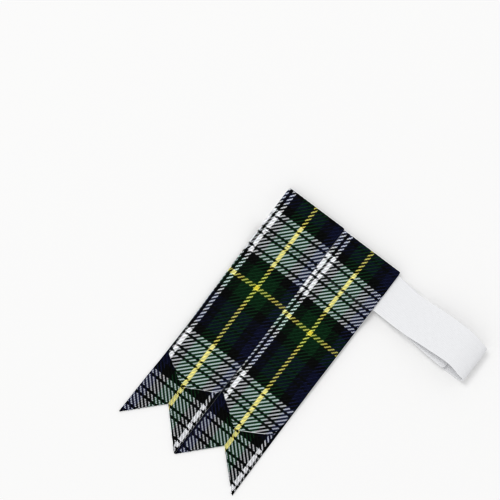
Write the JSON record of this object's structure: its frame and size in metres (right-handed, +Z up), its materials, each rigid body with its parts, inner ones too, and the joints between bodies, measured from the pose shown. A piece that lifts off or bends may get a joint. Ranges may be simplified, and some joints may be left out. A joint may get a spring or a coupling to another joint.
{
  "type": "kilt hose flash on an elastic garter",
  "caption": "Two tartan cloth tabs with pointed and forked ends, folded over a flat white elastic garter loop that holds a long sock up at the calf.",
  "frame": {"origin": "middle of the bounding box's bottom face, on the surface that the flash lies on", "axes": "+X along the garter from the tabs to the free end of the loop, -Y down the tabs to their forked ends, +Z up from the surface"},
  "size_m": [0.1514, 0.1664, 0.011],
  "materials": {
    "tab_cloth": "matte twill wool",
    "garter_elastic": "matte woven elastic",
    "hook_tape": "matte napped tape"
  },
  "bodies": {
    "root": {"left_tab": "tab_cloth", "right_tab": "tab_cloth", "garter_band": "garter_elastic", "fastening_pad": "hook_tape"}
  },
  "joints": []
}
